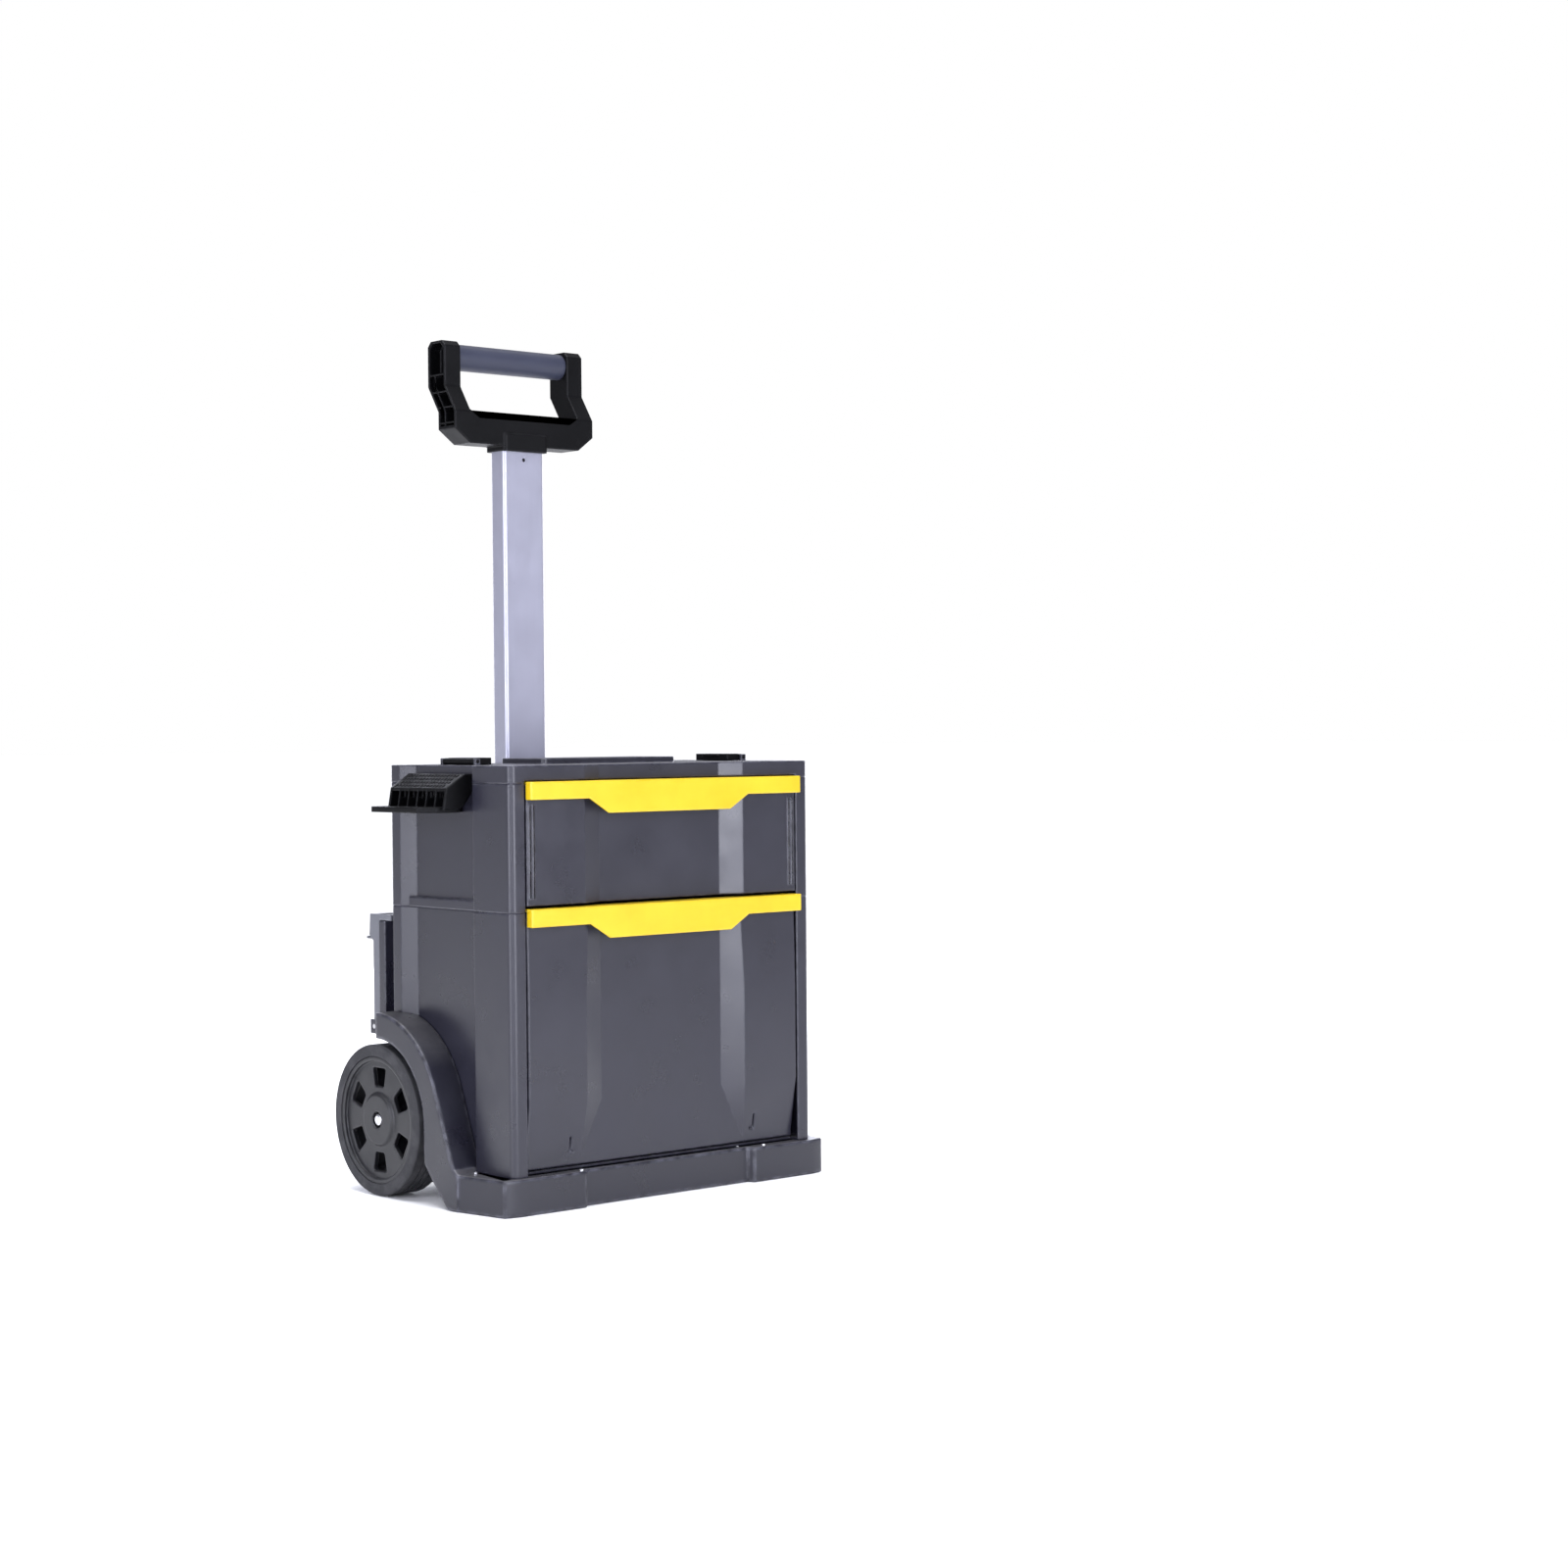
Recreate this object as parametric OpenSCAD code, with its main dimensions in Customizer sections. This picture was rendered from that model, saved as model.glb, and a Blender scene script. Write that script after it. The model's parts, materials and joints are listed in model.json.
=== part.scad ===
// Rolling tool box: a two-drawer plastic case on a wheeled base, with a single-pole telescopic handle.
// Millimetres. +Z is up and the drawers open towards -Y. The origin is on the floor, under the middle of
// the case.

/* [Case] */
// Width of the case across its sides
case_w = 418; // [390:1:520]
// Depth of the case from front to back
case_d = 226; // [200:1:290]
// Height of the top of the cover above the floor
case_h = 472; // [440:1:560]
// Height of the joint between the lower and the upper case
seam_z = 317; // [270:1:330]
// Height of the top cover's edge
cover_h = 19; // [14:1:26]
// Wall thickness of the cases, the cover and the base
wall = 3; // [2:0.25:4]
// Radius of the case's upright corners
corner_r = 7; // [4:0.5:12]
// Width of the front pillars beside the drawers
pillar_w = 19; // [14:1:26]
// How far the panel in each side is set in
side_recess = 10; // [4:1:14]
// Length of side wall in front of the side panel
side_front = 68; // [50:1:80]
// Length of side wall behind the side panel
side_back = 20; // [12:1:30]

/* [Drawers] */
// Width of the recess down the middle of the drawer fronts
recess_w = 222; // [160:1:260]
// Width of each slanted facet of the recess
facet_w = 27; // [15:1:36]
// Depth of the recess
recess_d = 10; // [5:1:14]
// Thickness of the drawer fronts
front_t = 4; // [3:0.5:5]
// Wall thickness of the drawer tubs
tub_t = 2.5; // [2:0.25:4]
// Gap all round the drawer fronts
drawer_gap = 2; // [1:0.5:4]
// How far the drawers open
drawer_travel = 130; // [100:5:150]
// Height of the yellow pulls
pull_h = 19; // [14:1:26]
// Further height of the pulls in the middle
pull_drop = 16; // [8:1:22]
// How far the pulls stand out from the drawer fronts
pull_out = 10; // [6:1:16]
// Thickness of the pulls
pull_t = 3; // [2:0.5:4]

/* [Drawer slides] */
// Height of the slides' fixed channels
rail_h = 40; // [30:1:46]
// Width of a slide, from the case wall to the drawer
rail_w = 13; // [11:0.5:16]
// Thickness of the slides' steel
rail_t = 1.5; // [1:0.1:2]
// Radius of the slides' balls
ball_r = 1.2; // [0.8:0.1:1.2]
// Balls in each row
ball_count = 9; // [5:1:14]

/* [Base and wheels] */
// Height of the base's skirt
skirt_h = 39; // [30:1:50]
// How far the skirt stands out at the sides
skirt_out = 27; // [22:1:34]
// How far the skirt stands out at the front
skirt_front = 7; // [4:1:12]
// Radius of the wheels
wheel_r = 83; // [70:1:95]
// Width of the wheels
wheel_w = 42; // [32:1:44]
// Depth of rubber on the wheels
tyre_t = 13; // [8:1:18]
// Distance of the axle in front of the back of the case
axle_in = 10; // [4:1:20]
// Radius of the axle
axle_r = 5; // [4:0.5:7]
// Gap between the tyre and the wheel arch
arch_gap = 6.5; // [5:0.5:12]
// Depth of the wheel arch's moulding, outside the gap
arch_t = 28.5; // [18:0.5:34]

/* [Telescopic handle] */
// Width of the pole
pole_w = 57; // [44:1:64]
// Depth of the pole
pole_d = 26; // [18:1:28]
// Wall thickness of the pole
pole_t = 2; // [1.5:0.25:3]
// How far the handle travels
pole_travel = 360; // [280:5:380]
// Length of pole that stays in its housing
pole_hold = 90; // [60:5:110]
// Gap behind the case, in front of the pole
pole_gap = 29; // [24:1:36]
// Width of the handle across its arms
handle_w = 196; // [160:1:230]
// Height of the handle from its underside to its top
handle_h = 118; // [95:1:130]
// Depth of the handle's mouldings
handle_d = 34; // [30:1:40]
// Width of each arm
arm_w = 22; // [14:1:28]
// How far the upper half of the handle is set back
crank = 20; // [0:1:26]
// Height of the handle's cross bar
bar_h = 30; // [26:1:40]
// Radius of the grip
grip_r = 15; // [11:0.5:16]
// Travel of the release button and of the lock pin
button_travel = 3; // [2:0.25:3]

/* [Latches and rack] */
// Length of the coupling latches on the cover
clip_l = 70; // [50:1:90]
// Width of the coupling latches
clip_w = 25; // [18:1:32]
// Height of the coupling latches
clip_h = 8; // [6:0.5:10]
// Height of the raised pad on the cover
pad_h = 6; // [3:0.5:7]
// Width of the rear latches
latch_w = 28; // [20:1:34]
// Length of the tool rack
rack_l = 106; // [80:1:112]
// How far the tool rack stands out from the side panel
rack_out = 56; // [40:1:60]
// Pockets in the tool rack
rack_pockets = 6; // [4:1:8]

/* [Hidden] */
$fn = 48;

plastic = [0.27, 0.27, 0.31];
black = [0.13, 0.13, 0.14];
yellow = [0.98, 0.87, 0.14];
grey = [0.72, 0.73, 0.75];
steel = [0.75, 0.76, 0.78];

eps = 0.5;                       // overshoot of cuts past a face
fit = 0.3;                       // gap between mouldings that stand beside each other
run = 0.5;                       // gap at each side of a sliding piece
pin_clear = 0.08;                // radial clearance of a turning pin

hw = case_w / 2;                 // half width of the case
yf = -case_d / 2;                // front face
yr = case_d / 2;                 // back face
side_y0 = yf + side_front;       // side panel's front edge
side_y1 = yr - side_back;        // side panel's back edge
panel_y0 = side_y0 + 4;          // the same edges at the depth of the panel
panel_y1 = side_y1 - 19;
panel_x = hw - side_recess;      // outside of the side panel
cover_z = case_h - cover_h;      // bottom edge of the cover
door_hw = hw - pillar_w;         // half width of the drawer opening
front_hw = door_hw - drawer_gap; // half width of the drawer fronts
recess_hw = recess_w / 2;
floor_hw = recess_hw - facet_w;  // half width of the recess's floor
front_y = yf + recess_d + front_t;   // back of the drawer fronts

// Heights of the two drawers
lower_z0 = skirt_h + wall + drawer_gap;
lower_z1 = seam_z + 4;
upper_z0 = lower_z1 + 3;
rail_z0 = case_h - 16;           // underside of the cover's front rail
upper_z1 = rail_z0 - 1;

// Drawer slides
inner_x = panel_x - wall;        // inside of the case at the side panel
tub_hw = inner_x - rail_w;       // outside of the drawer tubs
tub_y1 = yr - axle_in - 20;      // back of the drawer tubs
rail_y0 = front_y + 4;
rail_y1 = tub_y1 - 6;
cage_len = rail_y1 - rail_y0 - drawer_travel / 2 - 1; // stays inside the fixed channel
cage_h = rail_h - 2 * rail_t;    // between the channel's flanges
inner_h = cage_h - 6;            // height of the moving rail
lower_rail_z = seam_z - 58;
upper_rail_z = (seam_z + cover_z) / 2 + 4;

// Wheels
wheel_y = yr - axle_in;
wheel_x1 = hw + skirt_out + 2;   // outer face of a wheel
wheel_x0 = wheel_x1 - wheel_w;
rim_r = wheel_r - tyre_t;
arch_r = wheel_r + arch_gap;
fender_r = arch_r + arch_t;
well_x = wheel_x0 - 4;           // outside of the wheel well's wall
well_in = well_x - wall;
arch_y0 = wheel_y - arch_r;      // front of the wheel well

// Pole and handle
pole_y = yr + pole_gap + pole_d / 2;
handle_z = case_h + 5 + pole_travel; // underside of the handle
pole_z1 = handle_z + bar_h - 8;
pole_z0 = case_h - 2 - pole_hold;
grip_y = pole_y + crank;
grip_z = handle_z + handle_h - grip_r - 2;
arm_x = handle_w / 2 - arm_w;    // inside of an arm
bar_z = handle_z + bar_h;
housing_w = pole_w + 11;
housing_y0 = pole_y - pole_d / 2 - run - 5;
housing_y1 = pole_y + pole_d / 2 + 4.5;
housing_z0 = pole_z0 - pole_travel - 6;
housing_z1 = case_h - 2;
pin_z = pole_z0 + 14;
pin_r = 4;
pin_out = 2;                     // how far the lock pin stands out of the pole
rod_r = 2.5;

// Coupling latches
clip_x = hw - 30;                // middle of a latch
clip_y = 7;
clip_z = case_h + clip_h / 2;
clip_pin_x = clip_x + clip_w / 2 - 4;
clip_pin_r = 1.75;
pad_y = clip_y + 17;             // middle of the raised pad
pad_w = 188;
pad_l = 80;

// Rear latches
latch_x = hw - 15;               // middle of a latch
latch_y = yr + 31;
latch_z = wheel_r * 2 + 15;
latch_top = seam_z - 11;
latch_pin_r = 2.5;
column_d = 24;
column_x = latch_x - 21;         // inner side of a column
hub_r = 6;

// Rack
rack_len = min(rack_l, panel_y1 - panel_y0 - 8);
rack_y = (panel_y0 + panel_y1) / 2 + 5;
rack_z = case_h - 48;            // underside of the shelf

module both() { children(); mirror([1, 0, 0]) children(); }

// Rectangle with round corners, from exact squares and circles
module round_rect(w, d, r) {
    square([w - 2 * r, d], center = true);
    square([w, d - 2 * r], center = true);
    for (sx = [-1, 1], sy = [-1, 1]) translate([sx * (w / 2 - r), sy * (d / 2 - r)]) circle(r = r);
}

// Plan of the case. A positive inset gives the inside of its wall, a negative one a clearance around it.
module case_plan(inset = 0) {
    difference() {
        round_rect(case_w - 2 * inset, case_d - 2 * inset, max(corner_r - inset, 0.5));
        both() translate([-inset, 0]) polygon([
            [hw + inset + eps, side_y0 - inset - 1], [hw, side_y0 - inset], [panel_x, panel_y0 - inset],
            [panel_x, panel_y1 + inset / 4], [hw, side_y1 + inset / 4], [hw + inset + eps, side_y1 + inset / 4 + 1]
        ]);
    }
}

// Line of the recessed front, moved back by dy and ending at x = w, as half of a plan
function front_line(w, dy) = [
    [floor_hw, yf + recess_d + dy], [recess_hw, yf + dy], [w, yf + dy]
];
function mirrored(pts) = [for (i = [len(pts) - 1:-1:0]) [-pts[i][0], pts[i][1]]];
function full_line(w, dy) = concat(mirrored(front_line(w, dy)), front_line(w, dy));

// ---------------------------------------------------------------- base

ledge_in = 10;                   // how far the skirt's ledge reaches under the case
skirt_screw_l = 3;

// Places of the small screws on the skirt's ledge
module skirt_screw_places() {
    for (x = [-recess_hw - 11, recess_hw + 24]) translate([x, yf - 2.5, skirt_h]) children();
    both() translate([hw + 6, side_y0 - 8, skirt_h]) children();
}

// Plan of the base's tray, with straight sides beside the wheels
function tray_side(inset) = [
    [recess_hw + 4 + inset / 2, yf + 1 + inset], [recess_hw + 7 + inset / 2, yf - skirt_front + inset],
    [hw - 4 - inset / 2, yf - skirt_front + inset], [hw + 14 - inset, yf - skirt_front + 4 + inset],
    [hw + skirt_out - inset, yf + 70],
    [hw + skirt_out - inset, arch_y0 - inset], [well_x - inset, arch_y0 - inset],
    [well_x - inset, yr - inset]
];
module tray_plan(inset = 0) polygon(concat(mirrored(tray_side(inset)), tray_side(inset)));

// Side view of the tray: flat at the front and raised towards the wheels
module tray_profile(lift = 0) polygon([
    [yf - 40, lift], [arch_y0 + 4, lift], [arch_y0 + 29, lift + 14], [yr + 40, lift + 14],
    [yr + 40, skirt_h + lift], [yf - 40, skirt_h + lift]
]);

// Turns a drawing of Y and Z into a slab from x0 to x1
module across(x0, x1) translate([x0, 0, 0]) rotate([90, 0, 90]) linear_extrude(x1 - x0) children();

// Side view of the wheel's room, open below and behind
module wheel_room(r) {
    translate([wheel_y, wheel_r]) circle(r = r);
    translate([wheel_y - r, -eps]) square([2 * r, wheel_r + eps]);
}

// Side view of a wheel arch, with its foot running out on the skirt
module fender_profile() difference() {
    union() {
        translate([wheel_y, wheel_r]) circle(r = fender_r);
        polygon([
            [wheel_y - fender_r * cos(20), wheel_r + fender_r * sin(20)],
            [wheel_y - fender_r - 20, skirt_h + 16], [wheel_y - fender_r - 26, skirt_h + 5],
            [wheel_y - fender_r - 34, skirt_h], [wheel_y - fender_r - 34, 0],
            [arch_y0 - 44, 0], [arch_y0 - 15, 28], [arch_y0, 45], [arch_y0 + 20, wheel_r]
        ]);
    }
    wheel_room(arch_r);
    translate([wheel_y + 2, -fender_r]) square(3 * fender_r);
    translate([wheel_y - fender_r - 40, -fender_r]) square([3 * fender_r, fender_r]);
}

module well_half() difference() {
    union() {
        // inner wall and roof of the wheel well
        difference() {
            across(well_in, panel_x) difference() { wheel_room(arch_r + wall); translate([yr, -9]) square(400); }
            across(well_x, panel_x + 9) wheel_room(arch_r);
            translate([0, 0, -50]) cube([hw * 2, case_d, 50]);
            across(well_in - 9, well_in + 50) translate([wheel_y - 200, -9]) square([400, 23]);
        }
        // wheel arch, fitted to the side of the case
        difference() {
            across(panel_x, hw + skirt_out) fender_profile();
            translate([0, 0, -9]) linear_extrude(seam_z) case_plan(-fit);
        }
        // boss for the axle's bush
        translate([well_in - 12, wheel_y, wheel_r]) rotate([0, 90, 0]) cylinder(r = 13, h = well_x - well_in + 12);
    }
    translate([well_in - 20, wheel_y, wheel_r]) rotate([0, 90, 0]) cylinder(r = axle_r + 3, h = 60);
}

module base_frame() color(plastic) {
    difference() {
        union() {
            intersection() {
                linear_extrude(skirt_h) tray_plan();
                across(-hw * 2, hw * 2) tray_profile();
            }
            both() well_half();
        }
        // hollow of the tray, with a ledge above it round the foot of the case
        intersection() {
            union() {
                translate([0, 0, wall]) linear_extrude(skirt_h - 2 * wall) tray_plan(4);
                translate([0, 0, wall]) linear_extrude(skirt_h) intersection() {
                    tray_plan(4);
                    case_plan(ledge_in);
                }
            }
            across(-hw * 2, hw * 2) tray_profile(wall);
        }
        skirt_screw_places() translate([0, 0, -skirt_screw_l - 1]) cylinder(r = 1.5, h = skirt_screw_l + 2);
        // sloped cut behind the skirt, which lets the box tilt onto its wheels
        both() across(well_x + eps, hw * 2) polygon([
            [arch_y0 - 44, -eps], [arch_y0 - 15, 28], [arch_y0, 45], [arch_y0 + eps, 45], [arch_y0 + eps, -eps]
        ]);
    }
    // ribs that carry the lower case
    for (x = [-110, 0, 110]) translate([x - 1.5, yf + 8, wall - eps]) cube([3, 110, skirt_h - wall + eps]);
    // closes the skirt's hollow above the sloped cut
    both() across(well_x - 4, hw + skirt_out) polygon([
        [arch_y0 - 47, 0], [arch_y0 - 44, 0], [arch_y0 - 15, 28], [arch_y0 - 6, skirt_h - 1],
        [arch_y0 - 10, skirt_h - 1], [arch_y0 - 18, 29]
    ]);
}

// ---------------------------------------------------------------- cases

module case_shell(z0, z1) difference() {
    translate([0, 0, z0]) linear_extrude(z1 - z0) case_plan();
    translate([0, 0, z0 + wall]) linear_extrude(z1 - z0) case_plan(wall);
    // drawer opening in the front
    translate([-door_hw, yf - eps, z0 - eps]) cube([2 * door_hw, recess_d + front_t + 1, z1 - z0 + 2 * eps]);
}

// Places of the cover's screws
screw_x = hw - 14;
screw_ys = [yf + 14, yr - 14];

module lower_case() color(plastic) difference() {
    case_shell(skirt_h, seam_z);
    both() across(well_in - fit, hw + eps) wheel_room(arch_r + wall + fit);
    both() translate([well_in - 14, wheel_y, wheel_r]) rotate([0, 90, 0]) cylinder(r = 13 + fit, h = 30);
    both() for (z = bar_zs)
        translate([70, yr - 9, z - 40]) rotate([-90, 0, 0]) cylinder(r = 2, h = 20);
}

module upper_case() color(plastic) {
    difference() {
        case_shell(seam_z, cover_z);
        both() for (z = [seam_z + 26, cover_z - 22])
            translate([housing_w / 2 + 9, yr - 9, z]) rotate([-90, 0, 0]) cylinder(r = 2, h = 20);
    }
    // rim that stands out at the foot of each side panel
    both() translate([panel_x - 1, panel_y0, seam_z]) cube([7, panel_y1 - panel_y0 + 8, 11]);
    // rim that carries the cover
    translate([0, 0, cover_z - 6]) linear_extrude(6) difference() {
        case_plan(wall - 1);
        case_plan(wall + 3);
        translate([-door_hw, yf - 1]) square([2 * door_hw, 40]);
    }
    // posts for the cover's screws
    both() for (y = screw_ys) difference() {
        union() {
            translate([screw_x, y, cover_z - 22]) cylinder(r = 4.8, h = cover_h + 22 - wall);
            translate([screw_x, y - 1.5, cover_z - 22]) cube([hw - wall + 1 - screw_x, 3, 22]);
        }
        translate([screw_x, y, cover_z - 3]) cylinder(r = 2, h = cover_h);
    }
}

module top_cover() color(plastic) difference() {
    union() {
        difference() {
            translate([0, 0, cover_z]) linear_extrude(cover_h) case_plan();
            translate([0, 0, cover_z - eps]) linear_extrude(cover_h - wall + eps) case_plan(wall);
            // clear of the drawer fronts
            translate([-door_hw, yf - eps, cover_z - eps])
                cube([2 * door_hw, recess_d + front_t + 1, rail_z0 - cover_z + eps]);
        }
        // front rail
        translate([0, 0, rail_z0]) linear_extrude(case_h - rail_z0)
            translate([-door_hw, yf]) square([2 * door_hw, recess_d + front_t]);
        // raised pad that locates the box carried on top
        translate([0, pad_y, case_h - eps]) linear_extrude(pad_h + eps) round_rect(pad_w, pad_l, 6);
        // ears of the coupling latches
        both() for (s = [-1, 1])
            translate([clip_pin_x, clip_y + s * (clip_l / 2 - 4), case_h - eps]) clip_ear();
    }
    // recess in the front rail, with the same facets as the drawers
    translate([0, 0, cover_z - 1]) linear_extrude(cover_h + 2)
        polygon(concat([[-recess_hw, yf - 1]], mirrored(front_line(recess_hw, 0)),
                       front_line(recess_hw, 0), [[recess_hw, yf - 1]]));
    // hollow under the pad
    translate([0, pad_y, case_h - wall - eps]) linear_extrude(pad_h + eps) round_rect(pad_w - 6, pad_l - 6, 3);
    both() translate([clip_pin_x, clip_y - clip_l, clip_z]) rotate([-90, 0, 0]) cylinder(r = clip_pin_r, h = 2 * clip_l);
    // screw holes with sunk seats
    both() for (y = screw_ys) translate([screw_x, y, 0]) {
        translate([0, 0, case_h - 1.6]) cylinder(r = 4.6, h = 3);
        translate([0, 0, cover_z]) cylinder(r = 2, h = cover_h);
    }
}

// Ear that holds one end of a coupling latch's pin
module clip_ear() translate([-3.5, -2, 0]) cube([7, 4, clip_h / 2 + 3.5 + eps]);

// ---------------------------------------------------------------- back

module column() difference() {
    union() {
        translate([column_x, yr + fit, latch_z - 8]) cube([hw - column_x, column_d - fit, latch_top + 1 - latch_z]);
        // ears of the latch's pin
        for (side = [-1, 1]) translate([latch_x + side * (latch_w / 2 + 2 + fit) - 2, yr + column_d - 5, latch_z - 8])
            cube([4, 19, 16]);
    }
    // groove down the outside
    translate([hw - 12, yr - eps, latch_z + 8]) cube([20, 12.5, latch_top]);
    translate([latch_x - 40, latch_y, latch_z]) rotate([0, 90, 0]) cylinder(r = latch_pin_r, h = 80);
}

bar_zs = [latch_z + 12, latch_top - 22];   // undersides of the back frame's two bars
bar_t = 12;

module back_frame() color(plastic) difference() {
    union() {
        both() column();
        // plate across the back of the lower case
        translate([-well_in + 16, yr + fit, 20]) cube([2 * well_in - 32, 5, latch_top - 40]);
        // bars from side to side, which carry the pole's housing
        for (z = bar_zs) {
            translate([-column_x - 9, yr + fit, z]) cube([2 * column_x + 18, 14, bar_t]);
            translate([-housing_w / 2 - 18, yr + fit, z]) cube([housing_w + 36, housing_y0 - yr - fit, bar_t]);
        }
        // uprights
        for (x = [-110, 110]) translate([x - 6, yr + fit, 20]) cube([12, 14, latch_top - 30]);
    }
    both() for (z = bar_zs) {
        translate([housing_w / 2 + 9, yr + 8, z + bar_t / 2]) rotate([-90, 0, 0]) cylinder(r = 2, h = 60);
        translate([70, yr - 1, z - 40]) rotate([-90, 0, 0]) cylinder(r = 2, h = 30);
    }
}

module pole_housing() color(plastic) difference() {
    union() {
        translate([-housing_w / 2, housing_y0, housing_z0 - 4])
            cube([housing_w, housing_y1 - housing_y0, housing_z1 - housing_z0 + 4]);
        // block and flanges on the upper case
        translate([-housing_w / 2, yr + fit, seam_z + 12])
            cube([housing_w, housing_y0 - yr, housing_z1 - seam_z - 12]);
        translate([-housing_w / 2 - 16, yr + fit, seam_z + 12]) cube([housing_w + 32, 4, cover_z - seam_z - 20]);
        // flanges on the back frame's bars
        for (z = bar_zs) translate([-housing_w / 2 - 16, housing_y0, z]) cube([housing_w + 32, 4, bar_t]);
    }
    // bore of the pole
    translate([-pole_w / 2 - run, pole_y - pole_d / 2 - run, housing_z0])
        cube([pole_w + 2 * run, pole_d + 2 * run, case_h]);
    // lightening between the case and the pole, open to both sides
    for (z = [seam_z + 18, (seam_z + housing_z1) / 2 + 6]) translate([-housing_w, yr + 7, z])
        cube([2 * housing_w, housing_y0 - yr - 9, (housing_z1 - seam_z) / 2 - 22]);
    // groove in which the lock pin travels, with a deeper hole at each end
    translate([-pin_r - 0.4, pole_y, pin_z - pole_travel - 2 * pin_r])
        cube([2 * pin_r + 0.8, pole_d / 2 + run + pin_out + 0.6, pole_travel + 4 * pin_r]);
    for (z = [pin_z, pin_z - pole_travel])
        translate([0, pole_y, z]) rotate([-90, 0, 0]) cylinder(r = pin_r + 0.4, h = 60);
    // holes of the screws
    both() {
        for (z = [seam_z + 26, cover_z - 22])
            translate([housing_w / 2 + 9, yr - 1, z]) rotate([-90, 0, 0]) cylinder(r = 2, h = 20);
        for (z = bar_zs)
            translate([housing_w / 2 + 9, yr + 8, z + bar_t / 2]) rotate([-90, 0, 0]) cylinder(r = 2, h = 60);
    }
}

// ---------------------------------------------------------------- rack

rack_x0 = panel_x + fit;
rack_x1 = panel_x + rack_out;
rack_mid = panel_x + 0.6 * rack_out;
rack_pitch = (rack_len - 3) / rack_pockets;

rack_y0 = rack_y - rack_len / 2;
rack_y1 = rack_y + rack_len / 2;
plate_z = 39;                    // heights above the shelf's underside: top of the slanted plate
plate_low = 24;                  // and its lower edge
shelf_t = 4;

// Fixed rack on the left side: shelf, pockets and a slanted perforated plate between two cheeks
module tool_rack() color(black) mirror([1, 0, 0]) difference() {
    union() {
        // back plate, cut on the slant at the front
        translate([rack_x0 - 0.2, 0, 0]) rotate([90, 0, 90]) linear_extrude(3.2) polygon([
            [rack_y0, rack_z + 20], [rack_y0 + 20, rack_z], [rack_y1, rack_z], [rack_y1, rack_z + plate_z],
            [rack_y0, rack_z + plate_z]
        ]);
        // shelf, which runs on behind the pockets and has a turned-down rim
        difference() {
            translate([0, 0, rack_z - 2]) linear_extrude(shelf_t + 2) shelf_plan(0);
            translate([0, 0, rack_z - 3]) linear_extrude(3) shelf_plan(2.5);
        }
        // cheeks and dividers
        for (i = [0:rack_pockets]) {
            end = i == 0 || i == rack_pockets;
            translate([0, rack_y0 + i * rack_pitch + (end ? 3 : 2.25), 0]) rotate([90, 0, 0])
                linear_extrude(end ? 3 : 1.5) polygon([
                    [rack_x0, rack_z + (i == 0 ? 20 : 2)], [i == 0 ? rack_x0 + 16 : rack_x0, rack_z + 1],
                    [rack_mid + 4, rack_z + 1], [rack_mid, rack_z + plate_low], [rack_x0 + 10, rack_z + plate_z],
                    [rack_x0, rack_z + plate_z]
                ]);
        }
        // slanted plate
        translate([0, rack_y1, 0]) rotate([90, 0, 0]) linear_extrude(rack_len) polygon([
            [rack_x0, rack_z + plate_z - 3], [rack_x0, rack_z + plate_z], [rack_x0 + 10, rack_z + plate_z],
            [rack_mid, rack_z + plate_low], [rack_mid, rack_z + plate_low - 3.5], [rack_x0 + 9, rack_z + plate_z - 3.5]
        ]);
    }
    // clear of the side of the case
    translate([0, 0, rack_z - 4]) linear_extrude(60) case_plan(-fit);
    // holes through the slanted plate, in staggered rows
    for (row = [0:rack_rows - 1], k = [0:rack_holes - 1])
        translate([
            rack_x0 + 11 + (row + 0.5) / rack_rows * (rack_mid - rack_x0 - 12),
            rack_y0 + 6 + (k + (row % 2) / 2 + 0.25) * (rack_len - 12) / rack_holes, rack_z + 14
        ]) cylinder(r = 2.2, h = 30);
    // round bottoms of the pockets, open to the front
    for (i = [0:rack_pockets - 1])
        translate([rack_mid - 1, rack_y0 + (i + 0.5) * rack_pitch + 0.75, rack_z + 12]) rotate([0, 90, 0])
            cylinder(r = rack_pitch / 2 - 2.2, h = 30);
}
rack_rows = 4;                    // rows of holes in the slanted plate, and holes in a row
rack_holes = 16;
// Plan of the shelf: its front corner is cut on the slant
module shelf_plan(inset) polygon([
    [rack_x0 - 0.2 + (inset > 0 ? 3.2 : 0), rack_y0 + 20 + inset], [rack_x0 + 16, rack_y0 + 4 + inset],
    [rack_x1 - 14, rack_y0 + 8 + inset], [rack_x1 - inset, rack_y0 + 24 + inset],
    [rack_x1 - inset, rack_y1 + 4 - inset], [rack_x1 - 5 - inset / 2, rack_y1 + 10 - inset],
    [rack_x0 + 14, rack_y1 + 10 - inset], [rack_x0 - 0.2 + (inset > 0 ? 3.2 : 0), rack_y1 - 4 - inset]
]);

// ---------------------------------------------------------------- slides

// Fixed channel on the right side, open towards the drawer
module fixed_rail(z) difference() {
    translate([tub_hw + 1, rail_y0, z - rail_h / 2]) cube([inner_x - tub_hw - 1, rail_y1 - rail_y0, rail_h]);
    translate([tub_hw, rail_y0 - eps, z - cage_h / 2])
        cube([inner_x - tub_hw - rail_t, rail_y1 - rail_y0 + 2 * eps, cage_h]);
}
// Moving channel on the drawer, open towards the case
module drawer_rail(z) difference() {
    translate([tub_hw, rail_y0, z - inner_h / 2]) cube([rail_w / 2, rail_y1 - rail_y0, inner_h]);
    translate([tub_hw + rail_t, rail_y0 - eps, z - inner_h / 2 + rail_t])
        cube([rail_w, rail_y1 - rail_y0 + 2 * eps, inner_h - 2 * rail_t]);
}
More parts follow.
